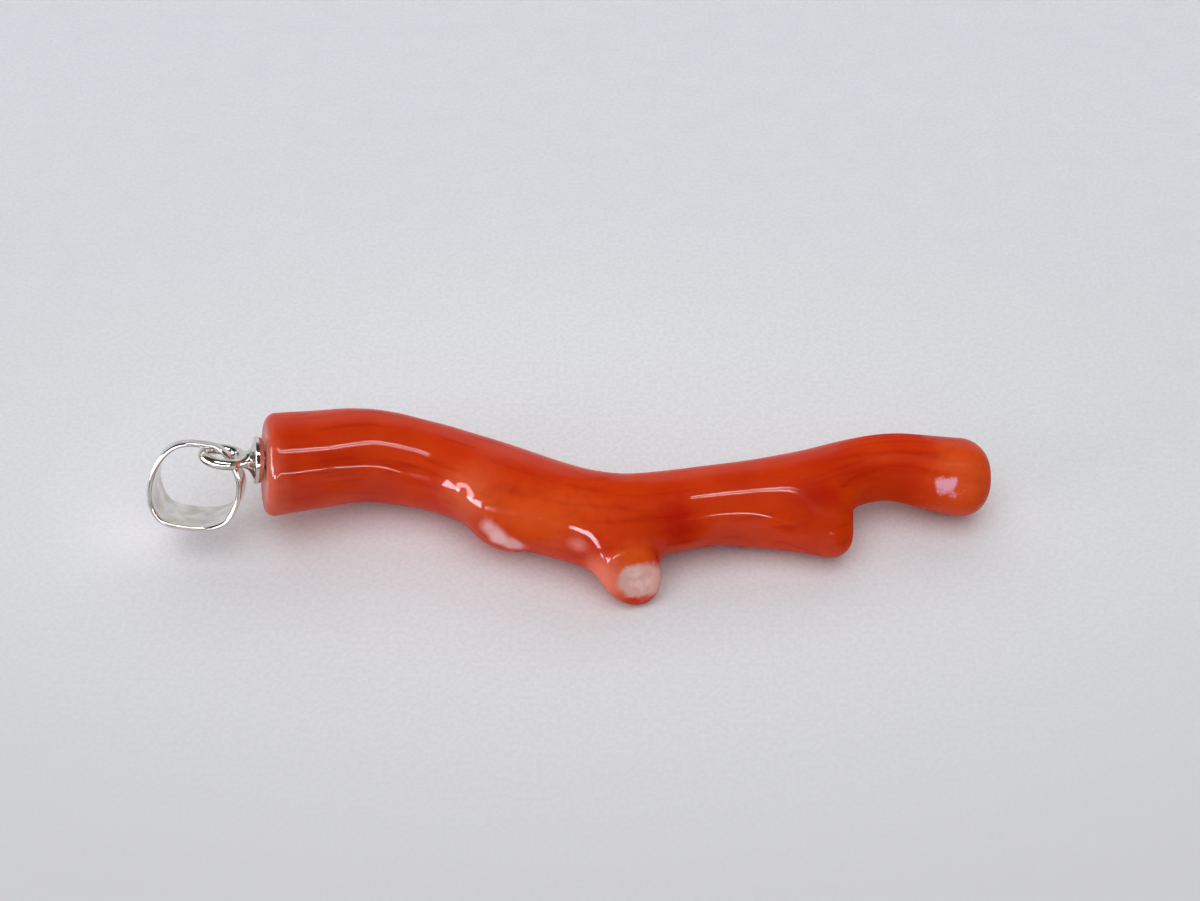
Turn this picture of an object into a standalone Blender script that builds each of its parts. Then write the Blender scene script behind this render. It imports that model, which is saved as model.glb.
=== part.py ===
"""Polished red coral branch pendant, lying on a table.

The branch is made in five lengths that meet at its forks. A silver cap with an eye is pegged into its
thick end, and a silver bail hangs through the eye. X runs along the branch, Y points to the back, Z is
up and the table is at Z = 0. The sizes below are in millimetres, and the meshes are in metres.
"""

import math

import bmesh
import bpy
import numpy as np
from mathutils import Matrix, Vector

MM = 0.001
FIT_GAP = 0.3

# Point of the drawing that becomes the origin: on the table, below the middle of the whole part
ORIGIN = (0.32, 0.39, -0.03)

# Stem of the branch: x along it, y and z of its centre, and its radius
STEM_STATIONS = (
    (-21.6, 1.85, 5.38, 3.66),
    (-18.4, 3.03, 4.70, 3.50),
    (-14.0, 4.30, 3.85, 3.33),
    (-11.7, 4.17, 3.45, 3.22),
    (-9.4, 3.64, 3.27, 3.14),
    (-7.1, 2.66, 3.27, 3.14),
    (-4.7, 1.45, 3.37, 3.20),
    (-0.2, -0.90, 3.50, 3.32),
    (4.3, -1.20, 3.40, 3.02),
    (8.8, -0.28, 3.30, 2.84),
    (13.3, 0.75, 3.25, 2.72),
    (18.0, 2.30, 3.25, 2.52),
    (22.6, 3.80, 3.20, 2.40),
    (27.2, 3.15, 3.00, 2.75),
    (30.2, 3.00, 2.90, 2.75),
)
CUT_POINT = (-21.33, 1.90, 5.35)
CUT_ROUNDING = 0.75
TIP_END_X = 29.97
TIP_ROUNDING = 2.1

# Twig that stands out to the front, ground flat on its end
TWIG_ROOT = (3.0, -2.9, 3.00)
TWIG_END = (4.72, -6.40, 2.05)
TWIG_FACE_NORMAL = (0.20, -0.94, 0.27)
TWIG_ROOT_RADIUS = 2.10
TWIG_END_RADIUS = 1.94
TWIG_END_ROUNDING = 0.9
TWIG_BLEND = 3.0

# Small flat ground over the twig's end
TWIG_FACET_NORMAL = (0.24, -0.88, 0.41)
TWIG_FACET_DEPTH = 0.22
TWIG_FACET_EDGE = 0.1

# Side stub that leaves the stem at a narrow angle, sawn off and rounded
STUB_START = (12.8, -0.12, 2.36)
STUB_END = (19.88, -1.36, 2.44)
STUB_START_RADIUS = 1.98
STUB_END_RADIUS = 2.42
STUB_ROUNDING = 1.9
STUB_BLEND = 2.6

# Low knot on the front of the stem, where an old twig was ground away, and the shoulder behind it:
# centre, radius and fillet
SWELLINGS = (
    ((-4.1, -0.38, 2.55), 2.4, 1.6),
    ((-5.0, 0.15, 3.72), 2.55, 1.8),
)

# Planes that part the branch at its forks
FIRST_FORK_X = 6.8
TWIG_SEAT = (4.0, -4.35, 2.50)
TWIG_SEAT_NORMAL = (0.05, -0.96, -0.27)
SECOND_FORK_X = 14.6
CROTCH_POINT = (16.8, 0.42, 2.85)
CROTCH_NORMAL = (-0.03, -0.96, -0.27)
PARTING_ROUNDING = 0.4

# Silver cap: its axis leaves the cut face squarely, and its peg sits in a drilled hole
CAP_CENTRE = (-21.36, 2.18, 5.56)
CAP_OUTWARD = (-0.966, -0.185, 0.185)
PEG_RADIUS = 0.5
PEG_LENGTH = 3.0
PEG_BEVEL = 0.1
HOLE_RADIUS = PEG_RADIUS + FIT_GAP
HOLE_DEPTH = PEG_LENGTH + FIT_GAP
HOLE_CUTTER_RISE = 1.0

# Cap from the back of its collar to the tip of its cone: distance out from the cut face, and radius
CAP_SECTION = (
    (0.12, 1.53),
    (0.24, 1.65),
    (0.66, 1.65),
    (0.74, 1.58),
    (0.82, 1.25),
    (0.94, 0.93),
    (1.10, 0.69),
    (1.28, 0.56),
    (1.56, 0.56),
    (1.64, 0.46),
)

# Eye on the cap: its plane holds the front direction and tips up a little as it leaves the cap
EYE_REACH = 2.86
EYE_TILT = math.radians(5.0)
EYE_RADIUS = 1.38
EYE_WIRE_RADIUS = 0.38
EYE_FRONT = (0.0, -0.92, 0.39)

# Bail strip, which hangs on the eye a little to the back of its far end: its middle line seen along
# the eye's wire, as distances from that wire toward the cap and down
BAIL_TURN = math.radians(14.0)
BAIL_LINE = (
    (0.05, -0.67),
    (0.90, -0.62),
    (1.62, -0.17),
    (2.20, 0.48),
    (2.72, 1.30),
    (2.90, 2.20),
    (2.80, 3.15),
    (2.37, 4.06),
    (1.40, 4.71),
    (-0.50, 5.02),
    (-2.06, 4.84),
    (-2.98, 3.70),
    (-3.20, 2.30),
    (-2.90, 0.90),
    (-2.06, -0.18),
    (-1.00, -0.60),
)
BAIL_THICKNESS = 0.36
BAIL_NARROW = 0.8
BAIL_WIDE = 3.9

# The strip starts to widen this share of the way to its far side, and is widest after the second share
BAIL_NECK_SHARE = 0.12
BAIL_GROWTH_SHARE = 0.6

# Fineness of the branch: rings of rays, which are cast from inside it to its surface
STEM_SIDES = 28
STEM_STEP = 0.85
ROUNDING_STEPS = 5
FIRST_RING_DEPTH = 0.004
CUT_FACE_REACH = 6.0
FLAT_RAYS = 4
FLAT_RUN_OUT = math.cos(math.pi * FLAT_RAYS / STEM_SIDES)
FLAT_LIMIT = -0.9
TWIG_SIDES = 28
TWIG_RING_SHARES = (0.002, 0.12, 0.3, 0.55, 0.8, 1.0)
TWIG_HEART_DEPTH = 1.0
TWIG_DOME_ANGLES = (14, 27, 39, 50, 61, 73, 85)
NEAREST_ROUNDS = 5
RAY_STEP = 0.2
RAY_REACH = 6.0
RAY_HALVINGS = 14

# Fineness of the silver
WIRE_SIDES = 12
TURNED_SIDES = 32
EYE_STEPS = 32
BAIL_STEPS = 60
BAIL_SECTION = ((-1, -0.5), (-1, 0.5), (-0.86, 1), (0.86, 1), (1, 0.5), (1, -0.5), (0.86, -1), (-0.86, -1))

AXIS_X = np.array((1.0, 0.0, 0.0))
AXIS_Z = np.array((0.0, 0.0, 1.0))

CORAL_RED = (0.46, 0.035, 0.006, 1.0)
SILVER = (0.85, 0.86, 0.88, 1.0)


def clear_scene():
    """Removes every object of the open file."""
    for item in list(bpy.data.objects):
        bpy.data.objects.remove(item, do_unlink=True)


def make_material(name, colour, roughness, metallic):
    """Makes a Principled material of one plain colour."""
    material = bpy.data.materials.new(name)
    material.use_nodes = True
    shader = material.node_tree.nodes["Principled BSDF"]
    shader.inputs["Base Color"].default_value = colour
    shader.inputs["Roughness"].default_value = roughness
    shader.inputs["Metallic"].default_value = metallic
    return material


def unit(vector):
    """Scales a vector to length one."""
    vector = np.asarray(vector, dtype=float)
    return vector / np.linalg.norm(vector)


def natural_spline(knots, values):
    """Returns a function that reads a natural cubic spline, or its derivatives, at any place."""
    knots = np.asarray(knots, dtype=float)
    values = np.asarray(values, dtype=float)
    gaps = np.diff(knots)
    slopes = np.diff(values, axis=0) / gaps[:, None]
    count = len(knots)
    matrix = np.eye(count)
    right = np.zeros_like(values)
    for row in range(1, count - 1):
        matrix[row, row - 1:row + 2] = gaps[row - 1], 2 * (gaps[row - 1] + gaps[row]), gaps[row]
        right[row] = 6 * (slopes[row] - slopes[row - 1])
    bends = np.linalg.solve(matrix, right)

    def read(place, order=0):
        place = np.asarray(place, dtype=float)
        inside = np.clip(place, knots[0], knots[-1])
        left = np.clip(np.searchsorted(knots, inside, side="right") - 1, 0, count - 2)
        gap = gaps[left][..., None]
        after = (inside - knots[left])[..., None]
        before = gap - after
        low, high = bends[left], bends[left + 1]
        slope = (high * after ** 2 - low * before ** 2) / (2 * gap) - (high - low) * gap / 6 + slopes[left]
        if order == 2:
            return (low * before + high * after) / gap
        if order == 1:
            return slope
        value = (low * before ** 3 + high * after ** 3) / (6 * gap)
        value = value + (values[left] / gap - low * gap / 6) * before
        value = value + (values[left + 1] / gap - high * gap / 6) * after
        return value + slope * (place - inside)[..., None]

    return read


def smooth_union(first, second, blend):
    """Joins two distance fields with a soft fillet."""
    near = np.maximum(blend - np.abs(first - second), 0.0) / blend
    return np.minimum(first, second) - near ** 3 * blend / 6


def rounded_cut(solid, plane, rounding):
    """Keeps the solid below a plane, with an edge of the given radius."""
    solid = solid + rounding
    plane = plane + rounding
    corner = np.hypot(np.maximum(solid, 0.0), np.maximum(plane, 0.0))
    return corner + np.minimum(np.maximum(solid, plane), 0.0) - rounding


STEM = natural_spline([row[0] for row in STEM_STATIONS], [row[1:] for row in STEM_STATIONS])


def stem_centre(places, order=0):
    """Gives the stem's centre, or its derivatives, at places along X."""
    side = STEM(places, order)[..., :2]
    along = np.asarray(places, dtype=float) if order == 0 else np.full(np.shape(places), float(order == 1))
    return np.concatenate([along[..., None], side], axis=-1)


def stem_field(points):
    """Gives the distance to the stem's surface, before its ends are cut."""
    place = points[..., 0].copy()
    for _ in range(NEAREST_ROUNDS):
        offset = stem_centre(place) - points
        slope = stem_centre(place, 1)
        bend = stem_centre(place, 2)
        pull = (offset * slope).sum(axis=-1)
        stiffness = (slope * slope).sum(axis=-1) + (offset * bend).sum(axis=-1)
        place -= pull / np.maximum(stiffness, 0.5)
    reach = np.linalg.norm(points - stem_centre(place), axis=-1)
    return reach - STEM(place)[..., 2]


def rod_field(points, start, end, start_radius, end_radius):
    """Gives the distance to a tapered rod that runs on past its end."""
    start = np.asarray(start)
    run = np.asarray(end) - start
    share = ((points - start) @ run) / (run @ run)
    share = np.maximum(share, 0.0)
    nearest = start + share[..., None] * run
    radius = start_radius + (end_radius - start_radius) * np.minimum(share, 1.0)
    return np.linalg.norm(points - nearest, axis=-1) - radius


def plane_field(points, point, normal):
    """Gives the height above a plane."""
    return (points - np.asarray(point)) @ unit(normal)


def branch_field(points):
    """Gives the distance to the whole branch, with its forks, swellings and cut ends."""
    field = stem_field(points)
    field = rounded_cut(field, plane_field(points, CUT_POINT, CAP_OUTWARD), CUT_ROUNDING)
    field = rounded_cut(field, points[..., 0] - TIP_END_X, TIP_ROUNDING)
    for centre, radius, blend in SWELLINGS:
        field = smooth_union(field, np.linalg.norm(points - np.asarray(centre), axis=-1) - radius, blend)
    stub = rod_field(points, STUB_START, STUB_END, STUB_START_RADIUS, STUB_END_RADIUS)
    stub = rounded_cut(stub, points[..., 0] - STUB_END[0], STUB_ROUNDING)
    field = smooth_union(field, stub, STUB_BLEND)
    twig = rod_field(points, TWIG_ROOT, TWIG_END, TWIG_ROOT_RADIUS, TWIG_END_RADIUS)
    twig = rounded_cut(twig, plane_field(points, TWIG_END, TWIG_FACE_NORMAL), TWIG_END_ROUNDING)
    facet = plane_field(points, TWIG_END, TWIG_FACET_NORMAL) + TWIG_FACET_DEPTH
    twig = rounded_cut(twig, facet, TWIG_FACET_EDGE)
    return smooth_union(field, twig, TWIG_BLEND)


def parting(field, points, point, normal, side):
    """Keeps what lies on one side of a parting plane, half a gap away from it."""
    plane = side * plane_field(points, point, normal) + FIT_GAP / 2
    return rounded_cut(field, plane, PARTING_ROUNDING)


def base_field(points):
    """Gives the distance to the branch without its front twig."""
    return parting(branch_field(points), points, TWIG_SEAT, TWIG_SEAT_NORMAL, 1)


def twig_field(points):
    """Gives the distance to the front twig."""
    return parting(branch_field(points), points, TWIG_SEAT, TWIG_SEAT_NORMAL, -1)


def tip_field(points):
    """Gives the distance to the branch without its side stub."""
    return parting(branch_field(points), points, CROTCH_POINT, CROTCH_NORMAL, 1)


def stub_field(points):
    """Gives the distance to the side stub."""
    return parting(branch_field(points), points, CROTCH_POINT, CROTCH_NORMAL, -1)


def fan(normal, sides):
    """Gives directions all round, square to a normal that isn't upright."""
    across = unit(np.cross(AXIS_Z, normal))
    up = np.cross(unit(normal), across)
    turn = np.arange(sides)[:, None] * 2 * math.pi / sides
    return np.cos(turn) * across + np.sin(turn) * up


def cast_rings(centres, rays, field):
    """Finds where the rays from each centre leave a solid, given by its distance field."""
    steps = np.arange(RAY_STEP, RAY_REACH, RAY_STEP)
    starts = centres[:, None, :]
    points = starts[:, :, None, :] + rays[:, :, None, :] * steps[:, None]
    high = steps[np.argmax(field(points) > 0, axis=2)]
    low = high - RAY_STEP
    for _ in range(RAY_HALVINGS):
        middle = (low + high) / 2
        outside = field(starts + rays * middle[..., None]) > 0
        low = np.where(outside, low, middle)
        high = np.where(outside, middle, high)
    return starts + rays * low[..., None]


def end_spacing(length, rounding):
    """Gives places from a rounded end inwards, close together over the rounding."""
    turns = [i * math.pi / 2 / ROUNDING_STEPS for i in range(ROUNDING_STEPS + 1)]
    edge = [rounding * (1 - math.cos(turn)) for turn in turns]
    edge[0] = FIRST_RING_DEPTH
    count = max(2, round((length - rounding) / STEM_STEP))
    return edge + [rounding + (length - rounding) * i / count for i in range(1, count + 1)]


def even_spacing(start, end):
    """Gives evenly spaced places from a start to an end."""
    return np.linspace(start, end, max(2, round((end - start) / STEM_STEP)) + 1)


def new_object(name, mesh, material):
    """Puts a mesh into the scene as a smoothly shaded object with one material."""
    mesh.materials.append(material)
    mesh.shade_smooth()
    mesh.set_sharp_from_angle(angle=math.radians(40))
    item = bpy.data.objects.new(name, mesh)
    bpy.context.collection.objects.link(item)
    return item


def skin_rings(name, rings, material, closed=False):
    """Bridges rings of points, in millimetres, into one closed object."""
    shape = bmesh.new()
    loops = [[shape.verts.new((Vector(point) - Vector(ORIGIN)) * MM) for point in ring] for ring in rings]
    pairs = list(zip(loops, loops[1:]))
    if closed:
        pairs.append((loops[-1], loops[0]))
    for first, second in pairs:
        for i in range(len(first)):
            j = (i + 1) % len(first)
            shape.faces.new((first[i], first[j], second[j], second[i]))
    if not closed:
        shape.faces.new(loops[0])
        shape.faces.new(loops[-1])
    bmesh.ops.recalc_face_normals(shape, faces=shape.faces)
    mesh = bpy.data.meshes.new(name)
    shape.to_mesh(mesh)
    shape.free()
    return new_object(name, mesh, material)


def apply_tool(target, tool, operation):
    """Joins or cuts one object by another, which is then only a guide."""
    tool.hide_render = True
    tool.display_type = "WIRE"
    boolean = target.modifiers.new(tool.name, "BOOLEAN")
    boolean.operation = operation
    boolean.solver = "EXACT"
    boolean.object = tool


def parted_length(name, centres, radii, side, field, material):
    """Makes a length beside the crotch plane, with two rays of each ring on the edges of its flat."""
    toward = side * unit(CROTCH_NORMAL)
    heading = math.atan2(toward[2], toward[1])
    rays = []
    for centre, radius in zip(centres, radii):
        flat = -np.dot(np.subtract(centre, CROTCH_POINT), toward) / math.hypot(toward[1], toward[2])
        edge = math.acos(min(max(flat / radius, FLAT_LIMIT), FLAT_RUN_OUT))
        on_flat = np.linspace(-edge, edge, FLAT_RAYS, endpoint=False)
        around = np.linspace(edge, 2 * math.pi - edge, STEM_SIDES - FLAT_RAYS, endpoint=False)
        turn = heading + np.concatenate([on_flat, around])
        rays.append(np.stack([0 * turn, np.cos(turn), np.sin(turn)], axis=1))
    return skin_rings(name, cast_rings(centres, np.array(rays), field), material)


def make_stem_base(material):
    """Makes the thick end, whose first rings lie along its slanting cut face."""
    end = FIRST_FORK_X - FIT_GAP / 2
    places = CUT_POINT[0] + np.array(end_spacing(end - CUT_POINT[0], CUT_ROUNDING))
    inward = -unit(CAP_OUTWARD)
    rays = []
    for place in places:
        share = min(max((place - CUT_POINT[0] - CUT_ROUNDING) / CUT_FACE_REACH, 0.0), 1.0)
        rays.append(fan(inward + (AXIS_X - inward) * share, STEM_SIDES))
    rings = cast_rings(stem_centre(places), np.array(rays), base_field)
    base = skin_rings("coral_stem_base", rings, material)
    hole = [turned_ring(height, HOLE_RADIUS) for height in (HOLE_CUTTER_RISE, -HOLE_DEPTH)]
    apply_tool(base, skin_rings("peg_hole", hole, material), "DIFFERENCE")
    return base


def make_stem_middle(material):
    """Makes the length between the two forks."""
    places = even_spacing(FIRST_FORK_X + FIT_GAP / 2, SECOND_FORK_X - FIT_GAP / 2)
    rays = np.broadcast_to(fan(AXIS_X, STEM_SIDES), (len(places), STEM_SIDES, 3))
    return skin_rings("coral_stem_middle", cast_rings(stem_centre(places), rays, base_field), material)


def make_stem_tip(material):
    """Makes the length from the second fork to the rounded tip."""
    start = SECOND_FORK_X + FIT_GAP / 2
    places = TIP_END_X - np.array(end_spacing(TIP_END_X - start, TIP_ROUNDING))
    radii = STEM(places)[:, 2]
    return parted_length("coral_stem_tip", stem_centre(places), radii, 1, tip_field, material)


def make_side_stub(material):
    """Makes the sawn stub that leaves the second fork beside the tip."""
    start = SECOND_FORK_X + FIT_GAP / 2
    places = STUB_END[0] - np.array(end_spacing(STUB_END[0] - start, STUB_ROUNDING))
    share = (places - STUB_START[0]) / (STUB_END[0] - STUB_START[0])
    centres = np.asarray(STUB_START) + share[:, None] * np.subtract(STUB_END, STUB_START)
    radii = STUB_START_RADIUS + share * (STUB_END_RADIUS - STUB_START_RADIUS)
    return parted_length("coral_side_stub", centres, radii, -1, stub_field, material)


def make_front_twig(material):
    """Makes the twig at the first fork: its rings start along its seat and turn over its end."""
    root = np.asarray(TWIG_ROOT)
    run = np.subtract(TWIG_END, TWIG_ROOT)
    along = unit(run)
    seat = unit(TWIG_SEAT_NORMAL)
    start = (np.dot(np.subtract(TWIG_SEAT, root), seat) + FIT_GAP / 2) / np.dot(along, seat)
    heart = np.linalg.norm(run) - TWIG_HEART_DEPTH
    centres = []
    rays = []
    for share in TWIG_RING_SHARES:
        centres.append(root + along * (start + (heart - start) * share))
        rays.append(fan(seat + (along - seat) * share, TWIG_SIDES))
    for lift in TWIG_DOME_ANGLES:
        angle = math.radians(lift)
        centres.append(root + along * heart)
        rays.append(fan(along, TWIG_SIDES) * math.cos(angle) + along * math.sin(angle))
    rings = cast_rings(np.array(centres), np.array(rays), twig_field)
    return skin_rings("coral_front_twig", rings, material)


def cap_axes():
    """Gives the cap's outward, front and down directions."""
    outward = unit(CAP_OUTWARD)
    front = np.asarray(EYE_FRONT)
    front = unit(front - outward * np.dot(front, outward))
    return outward, front, np.cross(front, outward)


def cap_point(out, ahead, below):
    """Places a point by its distances out along the cap's axis, in front of it and below it."""
    outward, front, down = cap_axes()
    return np.asarray(CAP_CENTRE) + outward * out + front * ahead + down * below


def eye_point(out, ahead, below):
    """Places a point by its distances from the cap's centre in the tipped plane of the eye."""
    away = out * math.cos(EYE_TILT) + below * math.sin(EYE_TILT)
    return cap_point(away, ahead, below * math.cos(EYE_TILT) - out * math.sin(EYE_TILT))


def bail_point(inward, ahead, below):
    """Places a point by its distances from the spot of the eye's wire that carries the bail."""
    side = EYE_RADIUS - inward
    out = EYE_REACH + side * math.cos(BAIL_TURN) + ahead * math.sin(BAIL_TURN)
    return eye_point(out, ahead * math.cos(BAIL_TURN) - side * math.sin(BAIL_TURN), below)


def turned_ring(outward, radius):
    """Gives a ring of points around the cap's axis."""
    turn = [i * 2 * math.pi / TURNED_SIDES for i in range(TURNED_SIDES)]
    return [cap_point(outward, radius * math.cos(a), radius * math.sin(a)) for a in turn]


def make_eye_cap(material):
    """Makes the peg, the cap and its cone as one turned piece, joined to the eye."""
    peg = ((-PEG_LENGTH, PEG_RADIUS - PEG_BEVEL), (PEG_BEVEL - PEG_LENGTH, PEG_RADIUS))
    shoulder = ((CAP_SECTION[0][0], PEG_RADIUS),)
    profile = peg + shoulder + CAP_SECTION
    cap = skin_rings("eye_cap", [turned_ring(place, radius) for place, radius in profile], material)
    rings = []
    for i in range(EYE_STEPS):
        turn = i * 2 * math.pi / EYE_STEPS
        ring = []
        for k in range(WIRE_SIDES):
            lean = (k + 0.5) * 2 * math.pi / WIRE_SIDES
            reach = EYE_RADIUS + EYE_WIRE_RADIUS * math.cos(lean)
            below = EYE_WIRE_RADIUS * math.sin(lean)
            ring.append(eye_point(EYE_REACH + reach * math.cos(turn), reach * math.sin(turn), below))
        rings.append(ring)
    eye = skin_rings("eye", rings, material, closed=True)
    apply_tool(cap, eye, "UNION")
    return cap


def closed_line(points, count):
    """Gives evenly spread points and directions on a closed smooth line through the given points."""
    points = np.asarray(points, dtype=float)
    around = np.concatenate([points[-4:], points, points[:5]])
    gaps = np.linalg.norm(np.diff(around, axis=0), axis=1)
    lengths = np.concatenate([[0.0], np.cumsum(gaps)])
    lengths -= lengths[4]
    total = lengths[4 + len(points)]
    read = natural_spline(lengths, around)
    places = np.arange(count) * total / count
    return read(places), read(places, 1), places / total


def strip_width(share):
    """Gives the strip's width at a share of the way round from the eye."""
    away = min(share, 1.0 - share) * 2
    growth = min(max((away - BAIL_NECK_SHARE) / BAIL_GROWTH_SHARE, 0.0), 1.0)
    return BAIL_NARROW + (BAIL_WIDE - BAIL_NARROW) * growth * growth * (3 - 2 * growth)


def make_bail(material):
    """Makes the tapered strip that loops through the eye, narrow there and wide opposite."""
    rings = []
    for middle, direction, share in zip(*closed_line(BAIL_LINE, BAIL_STEPS)):
        normal = unit((direction[1], -direction[0]))
        ring = []
        for side, level in BAIL_SECTION:
            inward, down = middle + normal * level * BAIL_THICKNESS / 2
            ring.append(bail_point(inward, side * strip_width(share) / 2, down))
        rings.append(ring)
    bail = skin_rings("bail", rings, material, closed=True)
    hinge = (Vector(bail_point(0.0, 0.0, 0.0)) - Vector(ORIGIN)) * MM
    bail.data.transform(Matrix.Translation(-hinge))
    bail.location = hinge
    return bail


def main():
    """Builds the branch, its cap and its bail."""
    clear_scene()
    coral = make_material("coral_red", CORAL_RED, 0.12, 0.0)
    silver = make_material("silver", SILVER, 0.08, 1.0)
    make_stem_base(coral)
    make_front_twig(coral)
    make_stem_middle(coral)
    make_side_stub(coral)
    make_stem_tip(coral)
    make_eye_cap(silver)
    make_bail(silver)


main()
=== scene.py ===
"""Looks of a polished red coral branch pendant with a silver cap, eye and bail, on a pale table.

X runs along the branch, Y points to the back and Z is up. Sizes are in millimetres of the drawing and
the meshes are made in metres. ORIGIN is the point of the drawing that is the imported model's origin.
"""

import logging
import math
from collections.abc import Callable, Sequence
from dataclasses import dataclass
from enum import Enum

import bpy
import numpy as np
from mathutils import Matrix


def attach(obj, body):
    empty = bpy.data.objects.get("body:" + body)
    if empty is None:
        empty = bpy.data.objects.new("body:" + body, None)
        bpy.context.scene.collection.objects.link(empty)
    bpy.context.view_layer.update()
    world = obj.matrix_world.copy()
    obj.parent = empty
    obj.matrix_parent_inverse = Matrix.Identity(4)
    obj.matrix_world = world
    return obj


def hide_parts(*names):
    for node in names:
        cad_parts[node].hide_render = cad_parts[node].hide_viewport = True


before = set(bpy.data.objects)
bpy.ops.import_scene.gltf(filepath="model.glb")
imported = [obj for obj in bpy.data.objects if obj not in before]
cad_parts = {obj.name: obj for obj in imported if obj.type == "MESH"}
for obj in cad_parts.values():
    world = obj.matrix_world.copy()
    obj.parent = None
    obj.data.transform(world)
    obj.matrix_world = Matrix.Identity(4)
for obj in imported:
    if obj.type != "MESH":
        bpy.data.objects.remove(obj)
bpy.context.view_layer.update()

MM = 0.001
ORIGIN = np.array((0.32, 0.39, -0.03))
LOG = logging.getLogger("coral pendant")

Point = tuple[float, float, float]
Colour = tuple[float, float, float]
Field = Callable[[np.ndarray], np.ndarray]
Object = bpy.types.Object
Material = bpy.types.Material
Tree = bpy.types.NodeTree
Socket = bpy.types.NodeSocket
Value = float | Point | Socket


class Body(Enum):
    """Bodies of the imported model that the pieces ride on."""

    BRANCH = "branch"
    BAIL = "bail_strap"


class Slot(Enum):
    """Finishes that the record names."""

    CORAL = "coral"
    SILVER = "silver"


def unit(vector: Sequence[float]) -> np.ndarray:
    """Scales a vector to length one."""
    return np.asarray(vector, dtype=float) / np.linalg.norm(vector)


def smooth_union(first: np.ndarray, second: np.ndarray, blend: float) -> np.ndarray:
    """Joins two distance fields with a soft fillet.

    Args:
        first: Distances to the first shape.
        second: Distances to the second shape.
        blend: Width of the fillet.

    Returns:
        Distances to the joined shape.
    """
    near = np.maximum(blend - np.abs(first - second), 0.0) / blend
    return np.minimum(first, second) - near**3 * blend / 6


def rounded_cut(solid: np.ndarray, plane: np.ndarray, rounding: float) -> np.ndarray:
    """Keeps the solid below a plane.

    Args:
        solid: Distances to the solid.
        plane: Heights above the plane.
        rounding: Radius of the edge that the cut leaves.

    Returns:
        Distances to what is kept.
    """
    solid = solid + rounding
    plane = plane + rounding
    corner = np.hypot(np.maximum(solid, 0.0), np.maximum(plane, 0.0))
    return corner + np.minimum(np.maximum(solid, plane), 0.0) - rounding


def plane_height(points: np.ndarray, point: Point, normal: Sequence[float]) -> np.ndarray:
    """Gives the height of points above a plane."""
    return (points - np.asarray(point)) @ unit(normal)


class SmoothLine:
    """A natural cubic spline, read from a fine table and straight beyond its ends."""

    EXTRA = 4.0  # How far the table goes on past the first and the last knot.
    SAMPLES = 6000  # Places in the table.

    def __init__(self, knots: Sequence[float], values: Sequence[Sequence[float]]) -> None:
        """Solves the spline and fills the table.

        Args:
            knots: Places of the given values, rising.
            values: One row of values for each knot.
        """
        knots = np.asarray(knots, dtype=float)
        values = np.asarray(values, dtype=float)
        gaps = np.diff(knots)
        slopes = np.diff(values, axis=0) / gaps[:, None]
        matrix = np.eye(len(knots))
        right = np.zeros_like(values)
        for row in range(1, len(knots) - 1):
            matrix[row, row - 1 : row + 2] = gaps[row - 1], 2 * (gaps[row - 1] + gaps[row]), gaps[row]
            right[row] = 6 * (slopes[row] - slopes[row - 1])
        bends = np.linalg.solve(matrix, right)
        self.places = np.linspace(knots[0] - self.EXTRA, knots[-1] + self.EXTRA, self.SAMPLES)
        inside = np.clip(self.places, knots[0], knots[-1])
        left = np.clip(np.searchsorted(knots, inside, side="right") - 1, 0, len(gaps) - 1)
        gap = gaps[left][:, None]
        after = (inside - knots[left])[:, None]
        before = gap - after
        low, high = bends[left], bends[left + 1]
        slope = (high * after**2 - low * before**2) / (2 * gap) - (high - low) * gap / 6 + slopes[left]
        value = (low * before**3 + high * after**3) / (6 * gap)
        value += (values[left] / gap - low * gap / 6) * before
        value += (values[left + 1] / gap - high * gap / 6) * after
        value += slope * (self.places - inside)[:, None]
        bend = (low * before + high * after) / gap * (inside == self.places)[:, None]
        self.orders = (value, slope, bend)

    def read(self, place: np.ndarray, order: int = 0) -> np.ndarray:
        """Reads the line.

        Args:
            place: Places to read, of any shape.
            order: 0 for the values, 1 for their slopes and 2 for their bends.

        Returns:
            The values, with one more axis than the places.
        """
        table = self.orders[order]
        return np.stack([np.interp(place, self.places, column) for column in table.T], axis=-1)


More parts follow.
